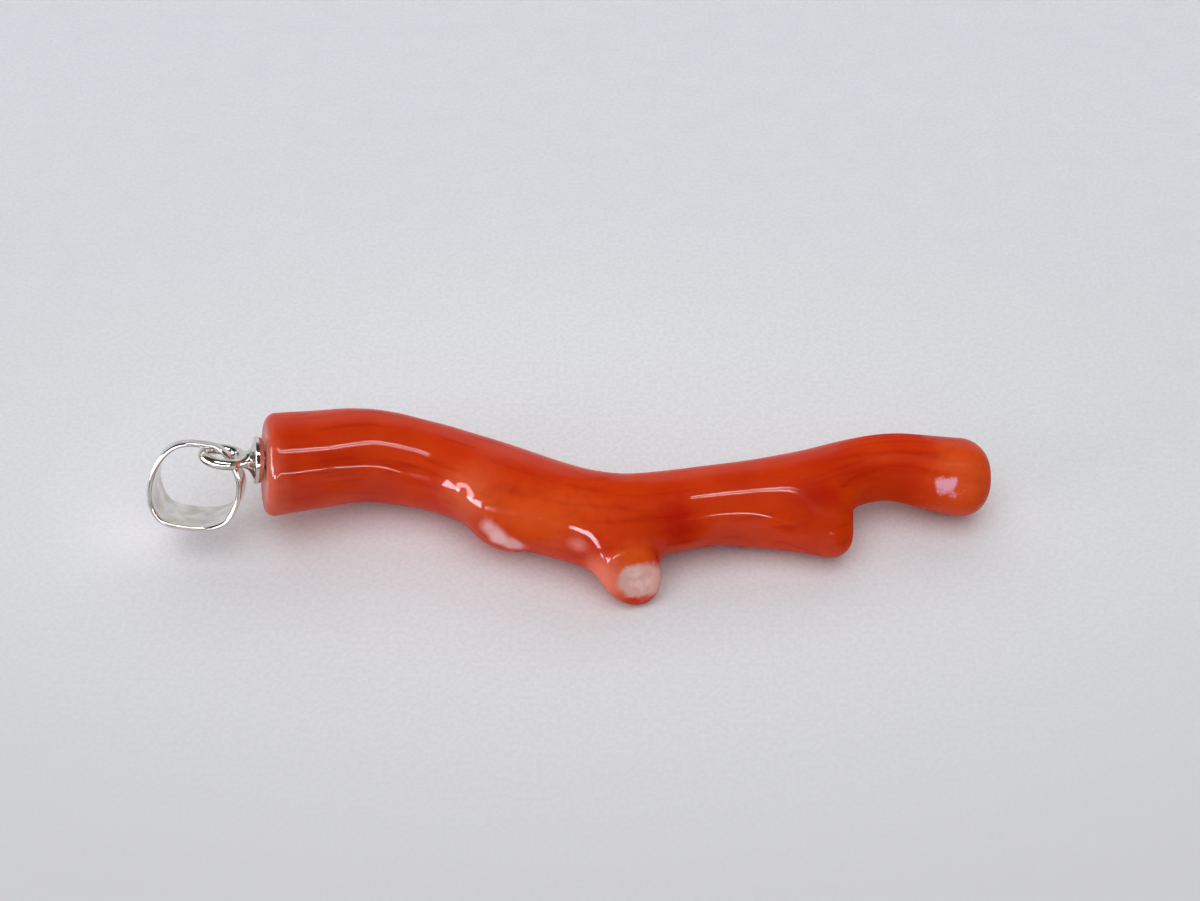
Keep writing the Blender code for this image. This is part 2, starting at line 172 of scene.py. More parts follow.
@dataclass(frozen=True)
class FieldSkin:
    """Wraps the surface of a distance field in an even mesh of small four-sided faces.

    Attributes:
        field: Distance to the surface, negative inside.
        low: Lowest corner of the space to search.
        high: Highest corner of that space.
        step: Size of a face.
        rounds: How often the faces are evened out.
    """

    field: Field
    low: Point
    high: Point
    step: float
    rounds: int = 4

    BLOCK = 6  # Grid points along a block's side; a block is first read at its middle only.
    NEAR = 1.3  # Blocks from there to the surface, up to which each of its points is read.
    RING = ((0, 0), (1, 0), (1, 1), (0, 1))  # Cells round an edge of the grid, in order.
    SLOPE_STEP = 0.01  # Millimetres on either side of a point, for its slope.
    LEAST_STEEP = 0.2  # Least squared slope that a point's way to the surface is divided by.

    def sample(self) -> tuple[np.ndarray, np.ndarray]:
        """Reads the field on a grid, finely only where the surface is near.

        Returns:
            The grid's lowest corner and its values.
        """
        low = np.asarray(self.low, dtype=float)
        counts = np.ceil((np.asarray(self.high) - low) / self.step / self.BLOCK).astype(int) * self.BLOCK
        lines = [low[axis] + self.step * np.arange(counts[axis]) for axis in range(3)]
        hearts = [line.reshape(-1, self.BLOCK).mean(axis=1) for line in lines]
        values = self.field(np.stack(np.meshgrid(*hearts, indexing="ij"), axis=-1))
        for axis in range(3):
            values = np.repeat(values, self.BLOCK, axis=axis)
        near = np.abs(values) < self.step * self.BLOCK * self.NEAR
        places = np.stack(np.meshgrid(*lines, indexing="ij"), axis=-1)[near]
        values[near] = self.field(places)
        return low, values

    def net(self) -> tuple[np.ndarray, np.ndarray]:
        """Makes one point in each cell that the surface crosses, and joins them.

        Returns:
            The points, and the faces as rows of four point numbers.
        """
        low, values = self.sample()
        inside = values < 0
        cells = tuple(size - 1 for size in inside.shape)
        filled = np.zeros(cells, dtype=np.int8)
        for corner in np.ndindex(2, 2, 2):
            filled += inside[tuple(slice(shift, shift + size) for shift, size in zip(corner, cells))]
        # The surface crosses a cell where some of its eight corners are inside, but not all.
        crossed = (filled > 0) & (filled < 8)
        number = np.full(cells, -1)
        number[crossed] = np.arange(crossed.sum())
        points = low + (np.argwhere(crossed) + 0.5) * self.step
        faces = []
        for axis in range(3):
            turned = np.moveaxis(inside, axis, 0)
            cell = np.moveaxis(number, axis, 0)
            i, j, k = np.nonzero(turned[1:, 1:-1, 1:-1] != turned[:-1, 1:-1, 1:-1])
            quads = np.stack([cell[i, j + aside, k + up] for aside, up in self.RING], axis=1)
            backward = ~turned[i, j + 1, k + 1] ^ (axis == 1)
            quads[backward] = quads[backward, ::-1]
            faces.append(quads)
        return points, np.concatenate(faces)

    def slope(self, points: np.ndarray) -> np.ndarray:
        """Gives the field's gradient.

        Args:
            points: Points of the drawing.

        Returns:
            A gradient for each point.
        """
        found = np.empty_like(points)
        for axis in range(3):
            shift = np.zeros(3)
            shift[axis] = self.SLOPE_STEP
            rise = self.field(points + shift) - self.field(points - shift)
            found[:, axis] = rise / (2 * self.SLOPE_STEP)
        return found

    def settle(self, points: np.ndarray) -> np.ndarray:
        """Moves points along the field's gradient onto its surface.

        Args:
            points: Points near the surface.

        Returns:
            The points on it.
        """
        slope = self.slope(points)
        steep = np.maximum((slope * slope).sum(axis=1), self.LEAST_STEEP)
        pull = np.clip(self.field(points) / steep, -self.step, self.step)
        return points - slope * pull[:, None]

    def make(self, name: str) -> Object:
        """Makes the mesh object.

        Args:
            name: Name of the piece.

        Returns:
            The object, with normals that follow the field.
        """
        points, faces = self.net()
        starts = faces.ravel()
        ends = np.roll(faces, -1, axis=1).ravel()
        neighbours = np.bincount(starts, minlength=len(points))[:, None]
        for _ in range(self.rounds):
            sums = [np.bincount(starts, points[ends, axis], len(points)) for axis in range(3)]
            points = self.settle((points + np.stack(sums, axis=1) / neighbours) / 2)
        points = self.settle(points)
        return new_piece(name, points, faces, self.slope(points))


def new_piece(name: str, points: np.ndarray, faces: np.ndarray, normals: np.ndarray) -> Object:
    """Makes a smooth mesh object from points of the drawing.

    Args:
        name: Name of the piece.
        points: Its points, in millimetres.
        faces: Rows of point numbers.
        normals: The surface's direction at each point, of any length.

    Returns:
        The object, linked to the scene.
    """
    mesh = bpy.data.meshes.new(name)
    mesh.from_pydata(((points - ORIGIN) * MM).tolist(), [], faces.tolist())
    mesh.shade_smooth()
    normals = normals / np.linalg.norm(normals, axis=1, keepdims=True)
    mesh.normals_split_custom_set_from_vertices(normals.tolist())
    piece = bpy.data.objects.new(name, mesh)
    bpy.context.scene.collection.objects.link(piece)
    return piece


def dress(piece: Object, finish: Material, body: Body, slot: Slot, *nodes: str) -> Object:
    """Gives a piece its finish and puts it on its body, in its nodes' place.

    Args:
        piece: The meshed piece.
        finish: Its material.
        body: Body that it moves with.
        slot: Slot of the record for its finish; not used.
        nodes: Nodes that it stands for.

    Returns:
        The piece.
    """
    piece.data.materials.append(finish)
    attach(piece, body.value)
    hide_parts(*nodes)
    return piece


@dataclass(frozen=True)
class Fitting:
    """Places of the silver: the axis of the cap, the tipped plane of its eye and the bail's turn.

    Attributes:
        centre: Middle of the cap on the sawn face.
        outward: Direction out of that face, along the cap's axis.
        eye_front: Direction of the eye's width, to the front.
        eye_reach: Distance from the cap's middle to the eye's, in the eye's plane.
        eye_tilt: Angle by which the eye's far side is lifted off the cap's axis.
        eye_radius: Radius of the eye at the middle of its wire.
        bail_turn: Angle round the eye, toward the back, where the bail hangs.
    """

    centre: Point = (-21.36, 2.18, 5.56)
    outward: Point = (-0.966, -0.185, 0.185)
    eye_front: Point = (0.0, -0.92, 0.39)
    eye_reach: float = 2.86
    eye_tilt: float = math.radians(5.0)
    eye_radius: float = 1.38
    bail_turn: float = math.radians(14.0)

    def axes(self) -> np.ndarray:
        """Gives the cap's own directions.

        Returns:
            Its outward, front and down directions as rows.
        """
        outward = unit(self.outward)
        front = np.asarray(self.eye_front)
        front = unit(front - outward * np.dot(front, outward))
        return np.stack([outward, front, np.cross(front, outward)])

    def cap_place(self, points: np.ndarray) -> np.ndarray:
        """Gives points by their distances out along the cap's axis, in front of it and below it."""
        return (points - np.asarray(self.centre)) @ self.axes().T

    def eye_place(self, points: np.ndarray) -> np.ndarray:
        """Gives points by their distances from the cap's centre in the eye's tipped plane.

        Args:
            points: Points of the drawing.

        Returns:
            Their distances away from the cap, to the front and below the plane.
        """
        away, ahead, below = np.moveaxis(self.cap_place(points), -1, 0)
        cosine, sine = math.cos(self.eye_tilt), math.sin(self.eye_tilt)
        return np.stack([away * cosine - below * sine, ahead, below * cosine + away * sine], axis=-1)

    def bail_point(self, inward: np.ndarray, ahead: np.ndarray, below: np.ndarray) -> np.ndarray:
        """Places points by their distances from the spot of the eye's wire that carries the bail.

        Args:
            inward: Distances from the wire toward the cap.
            ahead: Distances along the wire, to the front.
            below: Distances down.

        Returns:
            The points of the drawing.
        """
        side = self.eye_radius - inward
        out = self.eye_reach + side * math.cos(self.bail_turn) + ahead * math.sin(self.bail_turn)
        ahead = ahead * math.cos(self.bail_turn) - side * math.sin(self.bail_turn)
        cosine, sine = math.cos(self.eye_tilt), math.sin(self.eye_tilt)
        placed = np.stack([out * cosine + below * sine, ahead, below * cosine - out * sine], axis=-1)
        return np.asarray(self.centre) + placed @ self.axes()


@dataclass(frozen=True)
class Rod:
    """A tapered rod of coral with a sawn end.

    Attributes:
        start: Centre of its root, inside the stem.
        end: Centre of its sawn end.
        start_radius: Radius at the root.
        end_radius: Radius at the end.
        face_normal: Direction that the sawn end faces.
        rounding: Radius of the end's edge.
        blend: Width of the fillet where it leaves the stem.
        facet_normal: Direction of a flat ground over the end, if it has one.
        facet_depth: How far below the end's middle that flat lies.
    """

    start: Point
    end: Point
    start_radius: float
    end_radius: float
    face_normal: Point
    rounding: float
    blend: float
    facet_normal: Point | None = None
    facet_depth: float = 0.0

    FACET_EDGE = 0.1  # Radius of the flat's edge.

    def field(self, points: np.ndarray) -> np.ndarray:
        """Gives the distance to the rod.

        Args:
            points: Points of the drawing.

        Returns:
            A distance for each point, negative inside.
        """
        start = np.asarray(self.start)
        run = np.asarray(self.end) - start
        share = np.maximum(((points - start) @ run) / (run @ run), 0.0)
        radius = self.start_radius + (self.end_radius - self.start_radius) * np.minimum(share, 1.0)
        side = np.linalg.norm(points - (start + share[..., None] * run), axis=-1) - radius
        rod = rounded_cut(side, plane_height(points, self.end, self.face_normal), self.rounding)
        if self.facet_normal is None:
            return rod
        facet = plane_height(points, self.end, self.facet_normal) + self.facet_depth
        return rounded_cut(rod, facet, self.FACET_EDGE)


@dataclass(frozen=True)
class CoralBranch:
    """The coral: a wavy stem with a ground knot, a twig, a side stub and a drilled thick end.

    Attributes:
        fitting: Where the silver stands.
        stations: X along the stem, Y and Z of its centre, and its radius.
        cut_point: A point of the sawn thick end.
        cut_rounding: Radius of that end's edge.
        tip_reach: X where the stem ends.
        tip_rounding: Radius of that end's edge.
        swellings: Centre, radius and fillet of the ground knot and of the shoulder behind it.
        twig: The twig that stands out to the front.
        stub: The sawn stub beside the tip.
        peg_hole_radius: Radius of the hole for the cap's peg.
        peg_hole_depth: Depth of that hole.
        wave_height: Height of the slight waves that hand polishing leaves.
        waves_along: Slow and quick waves, with their share of the height, and for each of two
            sines its radians per millimetre along X, Y and Z and the angle that it starts from.
        space: Lowest and highest corner of the space that holds the branch.
        face_size: Size of a mesh face.
        nodes: Nodes that the branch stands for.
    """

    fitting: Fitting
    stations: tuple[tuple[float, float, float, float], ...] = (
        (-21.6, 1.85, 5.38, 3.66),
        (-18.4, 3.03, 4.70, 3.50),
        (-14.0, 4.30, 3.85, 3.33),
        (-11.7, 4.17, 3.45, 3.22),
        (-9.4, 3.64, 3.27, 3.14),
        (-7.1, 2.66, 3.27, 3.14),
        (-4.7, 1.45, 3.37, 3.20),
        (-0.2, -0.90, 3.50, 3.32),
        (4.3, -1.20, 3.40, 3.02),
        (8.8, -0.28, 3.30, 2.84),
        (13.3, 0.75, 3.25, 2.72),
        (18.0, 2.30, 3.25, 2.52),
        (22.6, 3.80, 3.20, 2.40),
        (27.2, 3.15, 3.00, 2.75),
        (30.2, 3.00, 2.90, 2.75),
    )
    cut_point: Point = (-21.33, 1.90, 5.35)
    cut_rounding: float = 0.75
    tip_reach: float = 29.97
    tip_rounding: float = 2.1
    swellings: tuple[tuple[Point, float, float], ...] = (
        ((-4.1, -0.38, 2.55), 2.4, 1.6),
        ((-5.0, 0.15, 3.72), 2.55, 1.8),
    )
    twig: Rod = Rod(
        start=(3.0, -2.9, 3.0),
        end=(4.72, -6.4, 2.05),
        start_radius=2.1,
        end_radius=1.94,
        face_normal=(0.20, -0.94, 0.27),
        rounding=0.9,
        blend=3.0,
        facet_normal=(0.24, -0.88, 0.41),
        facet_depth=0.22,
    )
    stub: Rod = Rod(
        start=(12.8, -0.12, 2.36),
        end=(19.88, -1.36, 2.44),
        start_radius=1.98,
        end_radius=2.42,
        face_normal=(1.0, 0.0, 0.0),
        rounding=1.9,
        blend=2.6,
    )
    peg_hole_radius: float = 0.55
    peg_hole_depth: float = 3.1
    wave_height: float = 0.02
    waves_along: tuple[tuple[float, tuple[float, ...], tuple[float, ...]], ...] = (
        (0.8, (0.9, 0.7, 0.0, 1.3), (-0.35, 0.0, 1.1, 0.4)),
        (0.2, (2.0, 0.0, -1.7, 0.0), (0.5, 1.9, 0.0, 2.0)),
    )
    space: tuple[Point, Point] = ((-23.5, -9.5, -1.0), (31.0, 8.6, 10.2))
    face_size: float = 0.17
    nodes: tuple[str, ...] = (
        "coral_stem_base",
        "coral_front_twig",
        "coral_stem_middle",
        "coral_side_stub",
        "coral_stem_tip",
    )

    NEAREST_ROUNDS = 4  # How often the nearest place on the stem is bettered.
    LEAST_STIFFNESS = 0.5  # Keeps its steps short inside a tight bend.

    def stem(self) -> SmoothLine:
        """Makes the smooth line of the stem's centre and radius."""
        return SmoothLine([row[0] for row in self.stations], [row[1:] for row in self.stations])

    def nearest(self, stem: SmoothLine, points: np.ndarray) -> np.ndarray:
        """Finds the place along X where the stem's centre is nearest to each point.

        Args:
            stem: The stem's smooth line.
            points: Points of the drawing.

        Returns:
            One place for each point.
        """
        place = points[..., 0].copy()
        for _ in range(self.NEAREST_ROUNDS):
            aside = stem.read(place)[..., :2] - points[..., 1:]
            slope = stem.read(place, 1)[..., :2]
            bend = stem.read(place, 2)[..., :2]
            pull = place - points[..., 0] + (aside * slope).sum(axis=-1)
            stiffness = 1.0 + (slope * slope + aside * bend).sum(axis=-1)
            place -= pull / np.maximum(stiffness, self.LEAST_STIFFNESS)
        return place

    def waves(self, points: np.ndarray) -> np.ndarray:
        """Gives the slight waves of the polished surface.

        Args:
            points: Points of the drawing.

        Returns:
            A height for each point.
        """
        height = np.zeros(points.shape[:-1])
        for share, *sines in self.waves_along:
            first, second = (np.sin(points @ np.array(turns) + start) for *turns, start in sines)
            height += share * first * second
        return self.wave_height * height

    def field(self) -> Field:
        """Makes the distance field of the whole branch.

        Returns:
            A function that gives the distances of points to the branch.
        """
        stem = self.stem()
        outward = self.fitting.outward

        def distance(points: np.ndarray) -> np.ndarray:
            """Gives the distance to the branch.

            Args:
                points: Points of the drawing.

            Returns:
                A distance for each point, negative inside.
            """
            place = self.nearest(stem, points)
            y, z, radius = np.moveaxis(stem.read(place), -1, 0)
            coral = np.linalg.norm(points - np.stack([place, y, z], axis=-1), axis=-1) - radius
            coral = rounded_cut(coral, plane_height(points, self.cut_point, outward), self.cut_rounding)
            coral = rounded_cut(coral, points[..., 0] - self.tip_reach, self.tip_rounding)
            for centre, size, blend in self.swellings:
                swelling = np.linalg.norm(points - np.asarray(centre), axis=-1) - size
                coral = smooth_union(coral, swelling, blend)
            for rod in (self.stub, self.twig):
                coral = smooth_union(coral, rod.field(points), rod.blend)
            out, ahead, below = np.moveaxis(self.fitting.cap_place(points), -1, 0)
            hole = np.maximum(np.hypot(ahead, below) - self.peg_hole_radius, -out - self.peg_hole_depth)
            return np.maximum(coral + self.waves(points), -hole)

        return distance

    def build(self, finish: Material) -> Object:
        """Makes the branch as one natural piece.

        Args:
            finish: Polished coral.

        Returns:
            The piece.
        """
        piece = FieldSkin(self.field(), *self.space, self.face_size).make("coral_branch")
        self.mark_grain(piece)
        return dress(piece, finish, Body.BRANCH, Slot.CORAL, *self.nodes)

    def mark_grain(self, piece: Object) -> None:
        """Writes each point's place in the straightened stem, which the coral's grain follows.

        Args:
            piece: The meshed branch.
        """
        count = len(piece.data.vertices)
        flat = np.empty(count * 3)
        piece.data.vertices.foreach_get("co", flat)
        points = flat.reshape(-1, 3) / MM + ORIGIN
        stem = self.stem()
        place = self.nearest(stem, points)
        aside = points[:, 1:] - stem.read(place)[:, :2]
        straight = np.column_stack([place, aside])
        grain = piece.data.attributes.new("grain_place", "FLOAT_VECTOR", "POINT")
        grain.data.foreach_set("vector", straight.ravel())


@dataclass(frozen=True)
class CapAndEye:
    """The silver cap: a collar and a cone on the cut face, a peg in the coral and an eye of round wire.

    Attributes:
        fitting: Where the silver stands.
        collar: Distances out along the axis, and the collar's radius there.
        collar_slope: Share of the gap across the axis that is the way to the collar's side.
        collar_rounding: Radius of the collar's edges.
        cone: Distances out along the axis, and the cone's radius there.
        cone_slope: Share of the gap across the axis that is the way to the cone's side.
        cone_start: Distance from the collar's back to the cone's.
        cone_fillet: Width of the fillet between collar and cone.
        peg_radius: Radius of the peg in the coral.
        peg_length: Length of the peg below the sawn face.
        peg_head: How far it reaches up into the cap.
        peg_rounding: Radius of the peg's edges.
        wire_radius: Radius of the eye's wire.
        solder: Width of the fillets of solder.
        space: Lowest and highest corner of the space that holds the cap and the eye.
        face_size: Size of a mesh face.
    """

    fitting: Fitting
    collar: tuple[tuple[float, float], ...] = ((0.12, 1.46), (0.46, 1.66), (0.74, 1.66))
    collar_slope: float = 0.9
    collar_rounding: float = 0.07
    cone: tuple[tuple[float, float], ...] = (
        (0.60, 1.50),
        (0.82, 1.22),
        (0.94, 0.95),
        (1.10, 0.73),
        (1.28, 0.60),
        (1.80, 0.52),
    )
    cone_slope: float = 0.6
    cone_start: float = 0.1
    cone_fillet: float = 0.12
    peg_radius: float = 0.5
    peg_length: float = 3.0
    peg_head: float = 0.5
    peg_rounding: float = 0.1
    wire_radius: float = 0.38
    solder: float = 0.3
    space: tuple[Point, Point] = ((-26.6, -0.6, 3.0), (-17.6, 4.8, 8.2))
    face_size: float = 0.07

    def field(self, points: np.ndarray) -> np.ndarray:
        """Gives the distance to the cap and its eye.

        Args:
            points: Points of the drawing.

        Returns:
            A distance for each point, negative inside.
        """
        out, ahead, below = np.moveaxis(self.fitting.cap_place(points), -1, 0)
        around = np.hypot(ahead, below)
        places, radii = zip(*self.collar)
        back, front = places[0], places[-1]
        rim = (around - np.interp(out, places, radii)) * self.collar_slope
        collar = rounded_cut(rim, np.maximum(back - out, out - front), self.collar_rounding)
        places, radii = zip(*self.cone)
        cone = (around - np.interp(out, places, radii)) * self.cone_slope
        cone = np.maximum(cone, np.maximum(back + self.cone_start - out, out - places[-1]))
        peg_ends = np.maximum(-out - self.peg_length, out - self.peg_head)
        peg = rounded_cut(around - self.peg_radius, peg_ends, self.peg_rounding)
        away, ahead, below = np.moveaxis(self.fitting.eye_place(points), -1, 0)
        ring = np.hypot(np.hypot(away - self.fitting.eye_reach, ahead) - self.fitting.eye_radius, below)
        cap = smooth_union(np.minimum(collar, peg), cone, self.cone_fillet)
        return smooth_union(cap, ring - self.wire_radius, self.solder)

    def build(self, finish: Material) -> Object:
        """Makes the cap with its eye.

        Args:
            finish: Silver.

        Returns:
            The piece.
        """
        piece = FieldSkin(self.field, *self.space, self.face_size).make("cap_and_eye")
        return dress(piece, finish, Body.BRANCH, Slot.SILVER, "eye_cap")


@dataclass(frozen=True)
class Bail:
    """The silver bail: a closed strap, narrow on the eye and wide opposite.

    Attributes:
        fitting: Where the silver stands.
        line: The strap's middle line, as distances from the eye's wire toward the cap and down.
        thickness: Thickness of the strap.
        widths: Narrowest and widest width of the strap.
        growth: Shares of the way to the far side where it starts to widen, and over which it does.
        steps: Mesh faces round the bail.
        edge_steps: Mesh faces round each edge of the strap.
        face_steps: Rows of points on each broad face of the strap.
    """

    fitting: Fitting
    line: tuple[tuple[float, float], ...] = (
        (0.05, -0.67),
        (0.90, -0.62),
        (1.62, -0.17),
        (2.20, 0.48),
        (2.72, 1.30),
        (2.90, 2.20),
        (2.80, 3.15),
        (2.37, 4.06),
        (1.40, 4.71),
        (-0.50, 5.02),
        (-2.06, 4.84),
        (-2.98, 3.70),
        (-3.20, 2.30),
        (-2.90, 0.90),
        (-2.06, -0.18),
        (-1.00, -0.60),
    )
    thickness: float = 0.36
    widths: tuple[float, float] = (0.8, 3.9)
    growth: tuple[float, float] = (0.12, 0.6)
    steps: int = 300
    edge_steps: int = 6
    face_steps: int = 8

    OVERLAP = 4  # Points of the line that are repeated past its ends, to close it smoothly.

    def middle(self) -> tuple[np.ndarray, np.ndarray, np.ndarray]:
        """Gives the strap's middle line.

        Returns:
            Points of the line, its directions there, and the shares of the way round.
        """
        points = np.asarray(self.line)
        around = np.concatenate([points[-self.OVERLAP :], points, points[: self.OVERLAP + 1]])
        lengths = np.concatenate([[0.0], np.cumsum(np.linalg.norm(np.diff(around, axis=0), axis=1))])
        lengths -= lengths[self.OVERLAP]
        total = lengths[self.OVERLAP + len(points)]
        curve = SmoothLine(lengths, around)
        places = np.arange(self.steps) * total / self.steps
        return curve.read(places), curve.read(places, 1), places / total

    def section(self) -> np.ndarray:
        """Gives the strap's section.

        Returns:
            For each point round it, its side of the strap, from 1 to -1, and how far it lies out
            along the width and along the thickness, as shares of half the thickness.
        """
        turn = np.linspace(-math.pi / 2, math.pi / 2, self.edge_steps + 1)
        flat = np.linspace(1, -1, self.face_steps + 2)[1:-1]
        rows = [(1, math.cos(a), math.sin(a)) for a in turn]
        rows += [(share, 0, 1) for share in flat]
        rows += [(-1, -math.cos(a), math.sin(a)) for a in turn[::-1]]
        rows += [(-share, 0, -1) for share in flat]
        return np.array(rows)

    def half_widths(self, share: np.ndarray) -> np.ndarray:
        """Gives half the strap's width.

        Args:
            share: Shares of the way round.

        Returns:
            Half widths, which grow smoothly toward the far side.
        """
        away = np.minimum(share, 1 - share) * 2
        growth = np.clip((away - self.growth[0]) / self.growth[1], 0, 1)
        narrow, wide = self.widths
        return (narrow + (wide - narrow) * growth**2 * (3 - 2 * growth)) / 2

    def rings(self) -> tuple[np.ndarray, np.ndarray]:
        """Sweeps the section round the middle line.

        Returns:
            One ring of points for each step, and the directions that the surface faces there.
        """
        middle, direction, share = self.middle()
        normal = np.stack([direction[:, 1], -direction[:, 0]], axis=1)
        normal /= np.linalg.norm(normal, axis=1, keepdims=True)
        round_edge = self.thickness / 2
        side, bulge, level = self.section().T
        core = side * (self.half_widths(share) - round_edge)[:, None]
        inward, below = np.moveaxis(middle[:, None] + 0 * level[:, None], -1, 0)
        # The surface faces away from the strap's middle sheet, which ends short of its edges.
        heart = self.fitting.bail_point(inward, core, below)
        inward = inward + normal[:, :1] * level * round_edge
        below = below + normal[:, 1:] * level * round_edge
        points = self.fitting.bail_point(inward, core + bulge * round_edge, below)
        return points, points - heart

    def build(self, finish: Material) -> Object:
        """Makes the bail.

        Args:
            finish: Silver.

        Returns:
            The piece.
        """
        points, normals = self.rings()
        number = np.arange(points[..., 0].size).reshape(points.shape[:2])
        after = np.roll(number, -1, axis=0)
        faces = np.stack([number, after, np.roll(after, -1, axis=1), np.roll(number, -1, axis=1)], axis=-1)
        flat = (points.reshape(-1, 3), faces.reshape(-1, 4), normals.reshape(-1, 3))
        return dress(new_piece("bail_strap", *flat), finish, Body.BAIL, Slot.SILVER, "bail")


class NodeBoard:
    """Lays out the nodes of one material, group or world."""

    MIX_INPUTS = (0, 6, 7)  # Places of the share and of the two colours among a Mix node's inputs.
    MIX_RESULT = 2  # Place of the mixed colour among its outputs.
    RELIEF_DEPTH = 0.01 * MM  # Depth of a bump of full strength.

    def __init__(self, tree: Tree) -> None:
        """Takes the tree to fill."""
        self.tree = tree

    def add(self, kind: str, **settings: object) -> bpy.types.Node:
        """Adds a node.

        Args:
            kind: Its type, without the word ShaderNode.
            settings: Its own settings.

        Returns:
            The node.
        """
        node = self.tree.nodes.new("ShaderNode" + kind)
        for name, value in settings.items():
            setattr(node, name, value)
        return node

    def feed(self, target: Socket, value: Value) -> None:
        """Links a socket to another, or sets its value.

        Args:
            target: The socket to feed.
            value: A socket to link, or a value.
        """
        if isinstance(value, Socket):
            self.tree.links.new(value, target)
        else:
            target.default_value = value

    def maths(self, operation: str, *values: Value) -> Socket:
        """Adds a Math node.

        Args:
            operation: What it does.
            values: What goes in, in order.

        Returns:
            Its result.
        """
        node = self.add("Math", operation=operation)
        for socket, value in zip(node.inputs, values):
            self.feed(socket, value)
        return node.outputs[0]

    def vector(self, operation: str, *values: Value) -> Socket:
        """Adds a Vector Math node.

        Args:
            operation: What it does.
            values: What goes in, in order.

        Returns:
            Its result, a number for a length.
        """
        node = self.add("VectorMath", operation=operation)
        for socket, value in zip(node.inputs, values):
            self.feed(socket, value)
        return node.outputs["Value" if operation == "LENGTH" else "Vector"]

    def noise(self, place: Socket, scale: Value, detail: float) -> Socket:
        """Adds smooth noise.

        Args:
            place: Where it is read.
            scale: How fine it is.
            detail: How many finer layers it has.

        Returns:
            Its value, from 0 to 1.
        """
        node = self.add("TexNoise")
        self.feed(node.inputs["Vector"], place)
        self.feed(node.inputs["Scale"], scale)
        self.feed(node.inputs["Detail"], detail)
        return node.outputs["Fac"]

    def span(self, value: Value, low: Value, high: Value, start: Value = 0.0, end: Value = 1.0) -> Socket:
        """Maps a value smoothly from one range to another.

        Args:
            value: The value.
            low: Where its range starts.
            high: Where its range ends.
            start: Result at the low end and below it.
            end: Result at the high end and above it.

        Returns:
            The result.
        """
        node = self.add("MapRange", interpolation_type="SMOOTHSTEP")
        for socket, number in zip(node.inputs, (value, low, high, start, end)):
            self.feed(socket, number)
        return node.outputs[0]

    def mix(self, share: Value, first: Value, second: Value) -> Socket:
        """Mixes two colours.

        Args:
            share: How much the second colour takes.
            first: A colour.
            second: Another colour.

        Returns:
            The mixed colour.
        """
        node = self.add("Mix", data_type="RGBA")
        for place, value in zip(self.MIX_INPUTS, (share, first, second)):
            self.feed(node.inputs[place], (*value, 1.0) if isinstance(value, tuple) else value)
        return node.outputs[self.MIX_RESULT]

    def bump(self, shader: bpy.types.Node, height: Socket, strength: float) -> None:
        """Gives a shader's surface a relief.

        Args:
            shader: The shader.
            height: Height over the surface, from 0 to 1.
            strength: Share of the full depth.
        """
        node = self.add("Bump")
        node.inputs["Strength"].default_value = strength
        node.inputs["Distance"].default_value = self.RELIEF_DEPTH
        self.feed(node.inputs["Height"], height)
        self.feed(shader.inputs["Normal"], node.outputs["Normal"])

    def group(self, tree: Tree, **values: Value) -> bpy.types.Node:
        """Places a node group.

        Args:
            tree: The group.
            values: Values or sockets for its inputs, by name.

        Returns:
            The group's node.
        """
        node = self.add("Group", node_tree=tree)
        for name, value in values.items():
            self.feed(node.inputs[name], value)
        return node


class EffectGroup:
    """A shader node group with named inputs and outputs, which several finishes share."""

    def __init__(self, name: str, inputs: dict[str, float | None], outputs: Sequence[str]) -> None:
        """Makes the empty group.

        Args:
            name: Name of the group.
            inputs: Names and starting values of its inputs, with None for a place.
            outputs: Names of its values.
        """
        self.tree = bpy.data.node_groups.new(name, "ShaderNodeTree")
        for label, value in inputs.items():
            kind = "NodeSocketVector" if value is None else "NodeSocketFloat"
            socket = self.tree.interface.new_socket(label, in_out="INPUT", socket_type=kind)
            if value is not None:
                socket.default_value = value
        for label in outputs:
            self.tree.interface.new_socket(label, in_out="OUTPUT", socket_type="NodeSocketFloat")
        self.board = NodeBoard(self.tree)
        self.inputs = self.tree.nodes.new("NodeGroupInput").outputs
        self.outputs = self.tree.nodes.new("NodeGroupOutput").inputs


def cloudy_tone() -> Tree:
    """Makes the group for slow changes of tone over a surface.

    Returns:
        A group with the inputs Place, Scale and Spread, and the output Tone from 0 to 1.
    """
    group = EffectGroup("cloudy_tone", {"Place": None, "Scale": 0.3, "Spread": 0.2}, ["Tone"])
    board = group.board
    cloud = board.noise(group.inputs["Place"], group.inputs["Scale"], detail=3.0)
    low = board.maths("SUBTRACT", 0.5, group.inputs["Spread"])
    high = board.maths("ADD", 0.5, group.inputs["Spread"])
    board.feed(group.outputs["Tone"], board.span(cloud, low, high))
    return group.tree


